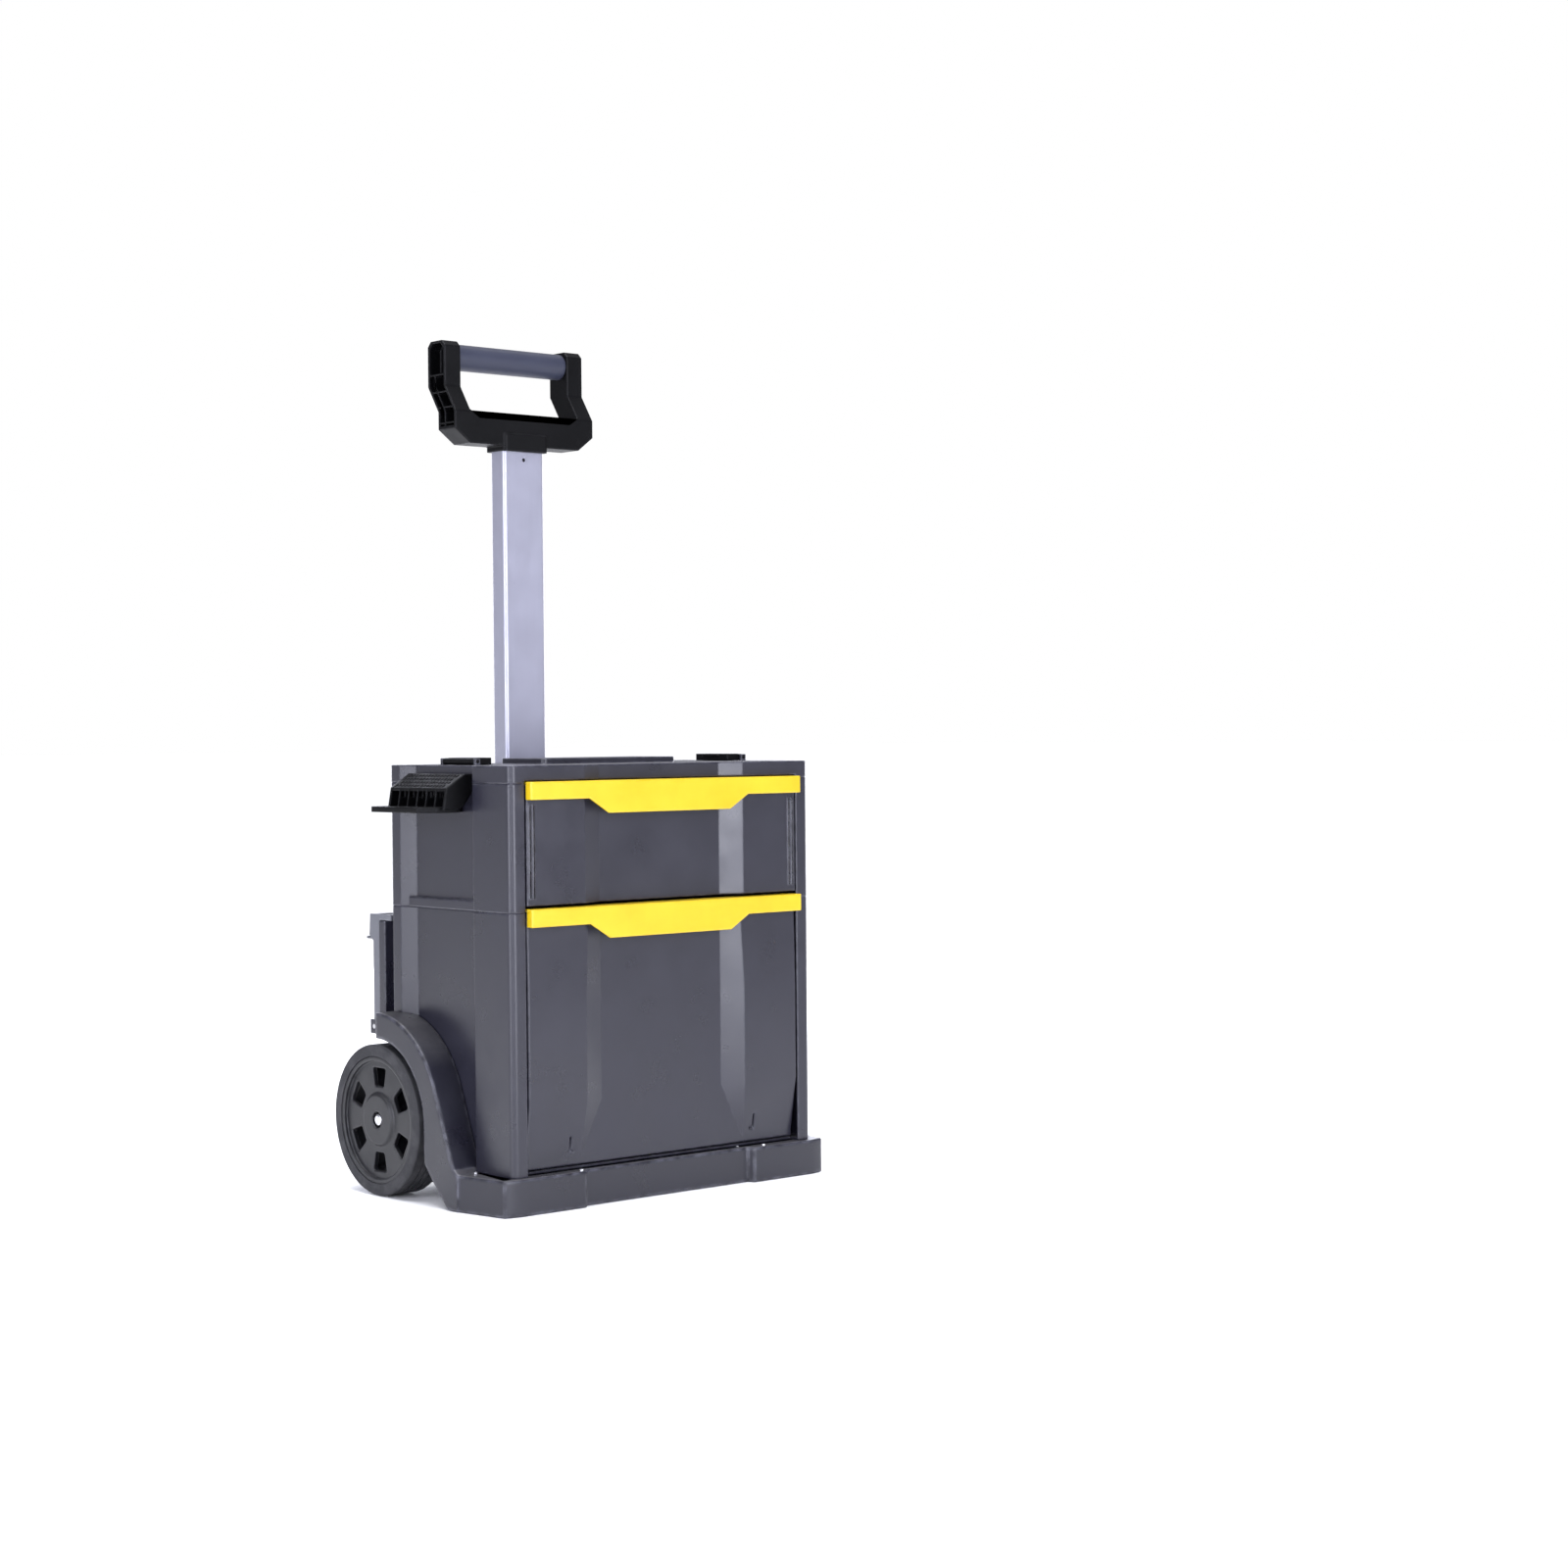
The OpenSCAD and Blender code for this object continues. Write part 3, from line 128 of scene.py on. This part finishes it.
def soft_box(name, place, width, height, power):
    """A rectangular area light that faces the middle of the tool box."""
    data = bpy.data.lights.new(name, "AREA")
    data.shape = "RECTANGLE"
    data.size = width
    data.size_y = height
    data.energy = power
    data.color = COOL_WHITE
    light = bpy.data.objects.new(name, data)
    bpy.context.collection.objects.link(light)
    light.location = place
    light.rotation_euler = (Vector(place) - object_middle).to_track_quat("Z", "Y").to_euler()


soft_box("front_box", (0.15, -2.6, 0.75), 1.0, 2.0, 72)
soft_box("left_box", (-2.7, -0.38, 0.75), 0.9, 2.0, 58)
soft_box("right_box", (2.3, 1.5, 0.9), 1.0, 1.8, 34)
soft_box("corner_strip", (-2.5, -2.8, 0.9), 0.5, 2.2, 44)
soft_box("top_box", (-0.5, -0.5, 3.0), 1.4, 1.4, 34)
soft_box("back_box", (0.75, 2.7, 0.9), 1.2, 1.8, 34)

sun_data = bpy.data.lights.new("overhead", "SUN")
sun_data.energy = SUN_STRENGTH
sun_data.angle = SUN_SPREAD
bpy.context.collection.objects.link(bpy.data.objects.new("overhead", sun_data))

# %% [markdown]
# ## Floor
# The floor takes the soft shadow that makes the tool box stand on something. It is one very large square, so
# that its far edge can't be told from the white behind it, and it lies a hair below the tyres so that the two
# never share a plane.

# %% Floor
FLOOR_HALF = 60
FLOOR_GAP = 0.5 * MM
FLOOR_WHITE = (0.95, 0.95, 0.945)

corner_signs = ((-1, -1), (1, -1), (1, 1), (-1, 1))
floor_mesh = bpy.data.meshes.new("floor")
floor_mesh.from_pydata([(x * FLOOR_HALF, y * FLOOR_HALF, 0) for x, y in corner_signs], [], [(0, 1, 2, 3)])
floor = bpy.data.objects.new("floor", floor_mesh)
bpy.context.collection.objects.link(floor)
floor.location.z = cad_box[0][2] - FLOOR_GAP
floor_paint = bpy.data.materials.new("pale_floor")
floor_paint.use_nodes = True
floor_shader = floor_paint.node_tree.nodes["Principled BSDF"]
floor_shader.inputs["Base Color"].default_value = (*FLOOR_WHITE, 1)
floor_shader.inputs["Roughness"].default_value = 0.7
floor_shader.inputs["Specular IOR Level"].default_value = 0.2
floor_mesh.materials.append(floor_paint)
print("floor is", 2 * FLOOR_HALF, "m across")

# %% [markdown]
# ## Shared effects
# Moulded plastic isn't flat colour. The steel mould is etched, which leaves a fine grain, handling rubs the
# corners paler, and dust settles on the top. The paler edges are also a painted highlight, where the edges
# would catch the light. These effects belong to many finishes, so each is a shader node group: one set of
# nodes with named inputs and outputs that every material can use with its own values.

# %% Helpers for node groups
FLOAT = "NodeSocketFloat"
VECTOR = "NodeSocketVector"


def new_group(name, inputs, outputs):
    """A shader node group with its input and output nodes. Sockets are (name, type, default)."""
    group = bpy.data.node_groups.new(name, "ShaderNodeTree")
    for direction, sockets in (("INPUT", inputs), ("OUTPUT", outputs)):
        for label, kind, default in sockets:
            socket = group.interface.new_socket(label, in_out=direction, socket_type=kind)
            if default is not None:
                socket.default_value = default
    return group, group.nodes.new("NodeGroupInput"), group.nodes.new("NodeGroupOutput")


def add_node(tree, kind, settings=None, links=None, values=None):
    """Adds a node to a tree, sets its properties, links and socket values, and returns it."""
    new = tree.nodes.new(kind)
    for key, value in (settings or {}).items():
        setattr(new, key, value)
    for socket, value in (values or {}).items():
        new.inputs[socket].default_value = value
    for socket, source in (links or {}).items():
        tree.links.new(source, new.inputs[socket])
    return new


def math_node(tree, operation, first, second):
    """A Math node's result. Each input is either a socket or a number."""
    new = tree.nodes.new("ShaderNodeMath")
    new.operation = operation
    for index, value in enumerate((first, second)):
        if isinstance(value, (int, float)):
            new.inputs[index].default_value = value
        else:
            tree.links.new(value, new.inputs[index])
    return new.outputs["Value"]


def noise(tree, place, scale, detail, roughness=0.5):
    """A noise of 0 to 1. Its scale is either a socket or a number."""
    texture = add_node(
        tree, "ShaderNodeTexNoise", links={"Vector": place}, values={"Detail": detail, "Roughness": roughness}
    )
    if isinstance(scale, (int, float)):
        texture.inputs["Scale"].default_value = scale
    else:
        tree.links.new(scale, texture.inputs["Scale"])
    return texture.outputs["Fac"]


def remap(tree, value, given_range=(0.0, 1.0), wanted_range=(0.0, 1.0)):
    """Stretches one range of values over another, and cuts off what lies outside."""
    return add_node(
        tree, "ShaderNodeMapRange", links={"Value": value},
        values={
            "From Min": given_range[0], "From Max": given_range[1],
            "To Min": wanted_range[0], "To Max": wanted_range[1],
        },
    ).outputs["Result"]


def blend(tree, factor, first, second):
    """Mixes two colours. Each is either a socket or three numbers."""
    mixer = add_node(tree, "ShaderNodeMix", {"data_type": "RGBA"}, {"Factor": factor})
    for socket, colour in (("A", first), ("B", second)):
        if isinstance(colour, (tuple, list)):
            mixer.inputs[socket].default_value = (*colour, 1)
        else:
            tree.links.new(colour, mixer.inputs[socket])
    return mixer.outputs["Result"]


def object_place(tree):
    """Each point's place on its own piece, in metres, so that a pattern moves with the piece."""
    return add_node(tree, "ShaderNodeTexCoord").outputs["Object"]


print("helpers ready")

# %% [markdown]
# ### Grain
# Two sizes of noise make the etched skin: a fine one that the eye reads as texture, and a broad one, which
# stands for the uneven flow of the plastic. The group gives a height for a Bump node and a mask that varies
# the roughness and the colour a little. Object coordinates are in metres, so 800 means cells of 1.25 mm.

# %% Grain group
FINE_SCALE = 800.0
BROAD_SCALE = 18.0


def make_grain():
    group, given, result = new_group(
        "grain",
        [("Fine scale", FLOAT, FINE_SCALE), ("Broad scale", FLOAT, BROAD_SCALE)],
        [("Height", FLOAT, None), ("Broad", FLOAT, None)],
    )
    place = object_place(group)
    fine = noise(group, place, given.outputs["Fine scale"], 1.0)
    broad = noise(group, place, given.outputs["Broad scale"], 4.0, 0.6)
    group.links.new(fine, result.inputs["Height"])
    group.links.new(broad, result.inputs["Broad"])
    return group


grain = make_grain()
print("grain outputs:", [s.name for s in grain.interface.items_tree if s.in_out == "OUTPUT"])

# %% [markdown]
# ### Edge wear and painted highlight
# A Bevel node gives the normal that a rounded corner would have. Where it differs from the true normal,
# there is an edge nearby. That difference, broken up with noise, is a mask for the paler edges, which are
# partly rubbed plastic and partly a painted highlight. The rounded normal comes out too, so that a material
# can soften its edges a little more than the mesh does.

# %% Edge wear and painted highlight group
SOFT_EDGE = 2.8 * MM


def make_edge_wear_and_highlight():
    group, given, result = new_group(
        "edge_wear_and_highlight",
        [("Radius", FLOAT, SOFT_EDGE), ("Break up", FLOAT, 90.0), ("Strength", FLOAT, 1.0)],
        [("Mask", FLOAT, None), ("Normal", VECTOR, None)],
    )
    rounded = add_node(group, "ShaderNodeBevel", {"samples": 6}, {"Radius": given.outputs["Radius"]})
    true_normal = add_node(group, "ShaderNodeNewGeometry").outputs["Normal"]
    likeness = add_node(
        group, "ShaderNodeVectorMath", {"operation": "DOT_PRODUCT"},
        {0: rounded.outputs["Normal"], 1: true_normal},
    ).outputs["Value"]
    # The mask is partly rubbed plastic and partly a painted highlight along every edge.
    near_edge = remap(group, likeness, (0.998, 0.92))
    patches = noise(group, object_place(group), given.outputs["Break up"], 3.0)
    broken = remap(group, patches, (0.38, 0.62))
    amount = math_node(group, "MULTIPLY", broken, given.outputs["Strength"])
    mask = math_node(group, "MULTIPLY", near_edge, amount)
    group.links.new(mask, result.inputs["Mask"])
    group.links.new(rounded.outputs["Normal"], result.inputs["Normal"])
    return group


edge_wear_and_highlight = make_edge_wear_and_highlight()
print("edge wear inputs:", [s.name for s in edge_wear_and_highlight.interface.items_tree if s.in_out == "INPUT"])

# %% [markdown]
# ### Dust
# Fine dust settles on what faces up and gathers unevenly. The mask is the upward part of the normal times a
# cloudy noise.

# %% Dust group
def make_dust():
    group, given, result = new_group("dust", [("Amount", FLOAT, 0.3)], [("Mask", FLOAT, None)])
    normal = add_node(group, "ShaderNodeNewGeometry").outputs["Normal"]
    upward = add_node(group, "ShaderNodeSeparateXYZ", links={"Vector": normal}).outputs["Z"]
    facing = remap(group, upward, (0.55, 0.98))
    cloud = noise(group, object_place(group), 42.0, 6.0, 0.65)
    mask = math_node(group, "MULTIPLY", math_node(group, "MULTIPLY", facing, cloud), given.outputs["Amount"])
    group.links.new(mask, result.inputs["Mask"])
    return group


dust = make_dust()
print("dust ready")

# %% [markdown]
# ## Plastics
# The case, the base and the drawers are one dark grey polypropylene. The handle, the rack and the wheels are
# nearly black, the pulls are yellow, and the latches at the back are light grey. They share one recipe: grain
# for the bump, broad noise for the roughness, paler edges that are partly rubbed and partly a painted
# highlight, and a little dust. Only the values differ.

# %% Moulded plastic recipe
DUST_COLOUR = (0.42, 0.41, 0.40)
GRAIN_DEPTH = 0.04 * MM
GLOSSIER = 0.06
DULLER = 0.08
RUBBED_POLISH = 0.1


def new_finish(name, gloss=0.5):
    """A material with its node tree and its shader."""
    finish = bpy.data.materials.new(name)
    finish.use_nodes = True
    shader = finish.node_tree.nodes["Principled BSDF"]
    shader.inputs["Specular IOR Level"].default_value = gloss
    return finish, finish.node_tree, shader


def moulded(name, colour, worn_and_highlight_colour, roughness, edge_paleness=0.6, dust_amount=0.25, gloss=0.5,
            fine_scale=FINE_SCALE, soft_edge=SOFT_EDGE):
    """A moulded plastic with etched grain, paler edges (rubbed plastic and a painted highlight) and dust."""
    finish, tree, shader = new_finish(name, gloss)
    skin = add_node(tree, "ShaderNodeGroup", {"node_tree": grain}, values={"Fine scale": fine_scale})
    edge_wear_and_highlight_node = add_node(
        tree, "ShaderNodeGroup", {"node_tree": edge_wear_and_highlight}, values={"Radius": soft_edge, "Strength": edge_paleness}
    )
    settled = add_node(tree, "ShaderNodeGroup", {"node_tree": dust}, values={"Amount": dust_amount})
    darker = [c * 0.80 for c in colour]
    lighter = [min(1.0, c * 1.18) for c in colour]
    flow = blend(tree, skin.outputs["Broad"], darker, lighter)
    # Paler edges: partly rubbed plastic, partly a painted highlight.
    worn_and_highlit = blend(tree, edge_wear_and_highlight_node.outputs["Mask"], flow, worn_and_highlight_colour)
    dusty = blend(tree, settled.outputs["Mask"], worn_and_highlit, DUST_COLOUR)
    tree.links.new(dusty, shader.inputs["Base Color"])
    uneven = remap(tree, skin.outputs["Broad"], (0.3, 0.7), (roughness - GLOSSIER, roughness + DULLER))
    polish = math_node(tree, "MULTIPLY", edge_wear_and_highlight_node.outputs["Mask"], RUBBED_POLISH)
    tree.links.new(math_node(tree, "SUBTRACT", uneven, polish), shader.inputs["Roughness"])
    bump = add_node(
        tree, "ShaderNodeBump", links={"Height": skin.outputs["Height"], "Normal": edge_wear_and_highlight_node.outputs["Normal"]},
        values={"Strength": 1.0, "Distance": GRAIN_DEPTH},
    )
    tree.links.new(bump.outputs["Normal"], shader.inputs["Normal"])
    return finish


print("moulded plastic recipe ready")

# %% [markdown]
# ### The plastics of this tool box
# Each line gives the plastic's colour, the paler colour of its edges, which is rubbed plastic and a painted
# highlight, and its roughness. The skirt and fenders take a darker copy of the case plastic, which is painted
# shade, and their ridges get a broad painted highlight, so they have a plastic of their own with a wider soft
# edge. The handle's black hardly shines and stays clean.

# %% Plastics
# Each second colour is the paler edge colour: rubbed plastic and a painted highlight.
case_plastic = moulded("case_plastic", (0.0135, 0.0132, 0.0215), (0.10, 0.10, 0.125), 0.31)
# The skirt's darker colour is painted shade, and its pale wide edges paint a highlight on the ridges.
skirt_plastic = moulded(
    "skirt_plastic", (0.0108, 0.0105, 0.0170), (0.16, 0.16, 0.195), 0.31, soft_edge=6 * MM
)
black_plastic = moulded(
    "black_plastic", (0.0018, 0.0018, 0.0022), (0.014, 0.014, 0.016), 0.44, dust_amount=0.02, gloss=0.12
)
rim_plastic = moulded("rim_plastic", (0.0055, 0.0055, 0.0075), (0.05, 0.05, 0.055), 0.42, dust_amount=0.06)
yellow_plastic = moulded(
    "yellow_plastic", (0.55, 0.375, 0.003), (0.72, 0.58, 0.10), 0.36, edge_paleness=0.35, dust_amount=0.05
)
grip_plastic = moulded(
    "grip_plastic", (0.025, 0.028, 0.047), (0.07, 0.075, 0.105), 0.5,
    dust_amount=0.1, gloss=0.35, fine_scale=900.0,
)
grey_plastic = moulded(
    "grey_plastic", (0.10, 0.103, 0.118), (0.30, 0.30, 0.33), 0.36, edge_paleness=0.3, dust_amount=0.1
)
print("plastics:", [m.name for m in bpy.data.materials if m.name.endswith("plastic")])

# %% [markdown]
# ## Rubber
# A tyre is dull, charcoal rather than black, and scuffed where it rolls. Its noise is coarser than the
# plastic's, and a second, larger noise rubs paler patches into it.

# %% Rubber
RUBBER_BLACK = (0.019, 0.019, 0.022)
RUBBER_SCUFFED = (0.048, 0.047, 0.050)
RUBBER_GRAIN_DEPTH = 0.25 * MM


def rubber(name):
    """A dull rubber with scuffed patches."""
    finish, tree, shader = new_finish(name, 0.35)
    skin = add_node(
        tree, "ShaderNodeGroup", {"node_tree": grain}, values={"Fine scale": 700.0, "Broad scale": 60.0}
    )
    scuffs = remap(tree, skin.outputs["Broad"], (0.45, 0.75))
    tree.links.new(blend(tree, scuffs, RUBBER_BLACK, RUBBER_SCUFFED), shader.inputs["Base Color"])
    dullness = remap(tree, skin.outputs["Broad"], wanted_range=(0.55, 0.85))
    tree.links.new(dullness, shader.inputs["Roughness"])
    bump = add_node(
        tree, "ShaderNodeBump", links={"Height": skin.outputs["Height"]},
        values={"Distance": RUBBER_GRAIN_DEPTH},
    )
    tree.links.new(bump.outputs["Normal"], shader.inputs["Normal"])
    return finish


tyre_rubber = rubber("tyre_rubber")
print("rubber ready")

# %% [markdown]
# ## Metals
# The pole is drawn aluminium with an anodised skin, so its fine lines run along its length. Slides, screws
# and the axle are zinc-plated steel, cloudy rather than brushed. One recipe covers both: the noise is
# stretched along Z for the drawn metal and left even for the plated one.

# %% Metal recipe
def metal(name, colour, roughness, stretch, line_scale, line_depth, metallic=1.0):
    """A metal whose fine lines come from noise stretched by stretch in X, Y and Z."""
    finish, tree, shader = new_finish(name)
    shader.inputs["Metallic"].default_value = metallic
    drawn = add_node(
        tree, "ShaderNodeMapping", links={"Vector": object_place(tree)}, values={"Scale": stretch}
    ).outputs["Vector"]
    lines = noise(tree, drawn, line_scale, 3.0)
    clouds = add_node(tree, "ShaderNodeGroup", {"node_tree": grain}, values={"Broad scale": 30.0})
    shade = math_node(tree, "MULTIPLY", math_node(tree, "ADD", lines, clouds.outputs["Broad"]), 0.5)
    darker = [c * 0.9 for c in colour]
    lighter = [min(1.0, c * 1.08) for c in colour]
    tree.links.new(blend(tree, shade, darker, lighter), shader.inputs["Base Color"])
    streaks = remap(tree, shade, (0.3, 0.7), (roughness - GLOSSIER, roughness + DULLER))
    tree.links.new(streaks, shader.inputs["Roughness"])
    bump = add_node(tree, "ShaderNodeBump", links={"Height": lines}, values={"Distance": line_depth})
    tree.links.new(bump.outputs["Normal"], shader.inputs["Normal"])
    return finish


ALONG_Z = (1.0, 1.0, 0.01)
EVEN = (1.0, 1.0, 1.0)
pole_aluminium = metal("pole_aluminium", (0.335, 0.335, 0.405), 0.33, ALONG_Z, 1500.0, 0.03 * MM, 0.55)
plated_steel = metal("steel", (0.62, 0.62, 0.64), 0.30, EVEN, 260.0, 0.02 * MM)
print("metals ready")

# %% [markdown]
# ## Painting the pieces
# Every piece of the frame names its material slot in the imported record, so the finishes are given out by
# slot and no piece is left with a plain colour. The base frame's slot is the case's plastic, and its own
# darker version with the wide soft edge, which paints shade on it and a highlight on its ridges, then takes
# that place.

# %% Give each piece its finish
FINISHES = {
    "case_plastic": case_plastic,
    "black_plastic": black_plastic,
    "rim_plastic": rim_plastic,
    "yellow_plastic": yellow_plastic,
    "grip_plastic": grip_plastic,
    "grey_plastic": grey_plastic,
    "tyre_rubber": tyre_rubber,
    "pole_aluminium": pole_aluminium,
    "steel": plated_steel,
}
slot_of = {part["node"]: part["material_slot"] for part in frame["record"]["subparts"]}
for name, piece in nodes.items():
    piece.data.materials.clear()
    piece.data.materials.append(FINISHES[slot_of[name]])
# The base frame gets the darker skirt plastic: painted shade, with a painted highlight on its ridges.
nodes["base_frame"].data.materials[0] = skirt_plastic
print("painted", len(nodes), "pieces")

# %% [markdown]
# ## Rounded edges
# No moulded edge is sharp: the mould has a radius of a millimetre or so, and that thin rounded line is what
# catches the light. The frame's faces come with corners of their own, so a Weld joins them first. A planar
# Decimate then turns the flat triangles into whole faces, and a Bevel rounds only the edges that turn by
# more than its angle, so curved surfaces stay as they are. An Edge Split keeps the shallow creases between
# the drawers' facets crisp, and a Weighted Normal makes the large faces shade as flat as they are.

# %% Recipe for rounded edges
WELD_DISTANCE = 0.02 * MM
FLAT_TURN = math.radians(0.8)
ROUNDED_TURN = math.radians(32)
HARD_TURN = math.radians(19)
ROUNDING_SEGMENTS = 5
LARGE_FACES_COUNT_MOST = 100


def soften(name, radius):
    """Rounds the sharp edges of a frame piece with modifiers, which leave its own mesh alone."""
    piece = nodes[name]
    join = piece.modifiers.new("join", "WELD")
    join.merge_threshold = WELD_DISTANCE
    flatten = piece.modifiers.new("flatten", "DECIMATE")
    flatten.decimate_type = "DISSOLVE"
    flatten.angle_limit = FLAT_TURN
    rounding = piece.modifiers.new("rounding", "BEVEL")
    rounding.width = radius
    rounding.segments = ROUNDING_SEGMENTS
    rounding.limit_method = "ANGLE"
    rounding.angle_limit = ROUNDED_TURN
    rounding.use_clamp_overlap = False
    creases = piece.modifiers.new("creases", "EDGE_SPLIT")
    creases.split_angle = HARD_TURN
    shading = piece.modifiers.new("shading", "WEIGHTED_NORMAL")
    shading.weight = LARGE_FACES_COUNT_MOST
    shading.keep_sharp = True
    for face in piece.data.polygons:
        face.use_smooth = True


print("edges are rounded in", ROUNDING_SEGMENTS, "steps")

# %% [markdown]
# ### How round each piece is
# The pieces that are seen most or held have the widest edges, and small or thin pieces have narrower ones.
# Nothing holds the Bevel back where two edges lie close together, which is why the pole's housing has a small
# radius: at 1.2 mm one of its corners grew a long spike. The radii are in millimetres.

# %% Round the edges
EDGE_RADII = {
    1.6: ["lower_drawer_front"],
    1.5: ["base_frame"],
    1.1: ["lower_pull", "upper_pull", "release_button", "upper_drawer_front"],
    0.9: ["lower_case", "upper_case", "top_cover", "handle_frame"],
    0.7: ["left_coupling_latch", "right_coupling_latch", "left_rear_latch", "right_rear_latch",
          "back_frame", "left_rim", "right_rim", "lower_drawer_tub", "upper_drawer_tub"],
    0.4: ["tool_rack"],
    0.5: ["left_tyre", "right_tyre", "left_axle_cap", "right_axle_cap", "grip", "axle",
          "pole_foot", "pole_housing"],
}
for radius, names in EDGE_RADII.items():
    for name in names:
        soften(name, radius * MM)
print("rounded", sum(len(names) for names in EDGE_RADII.values()), "pieces")
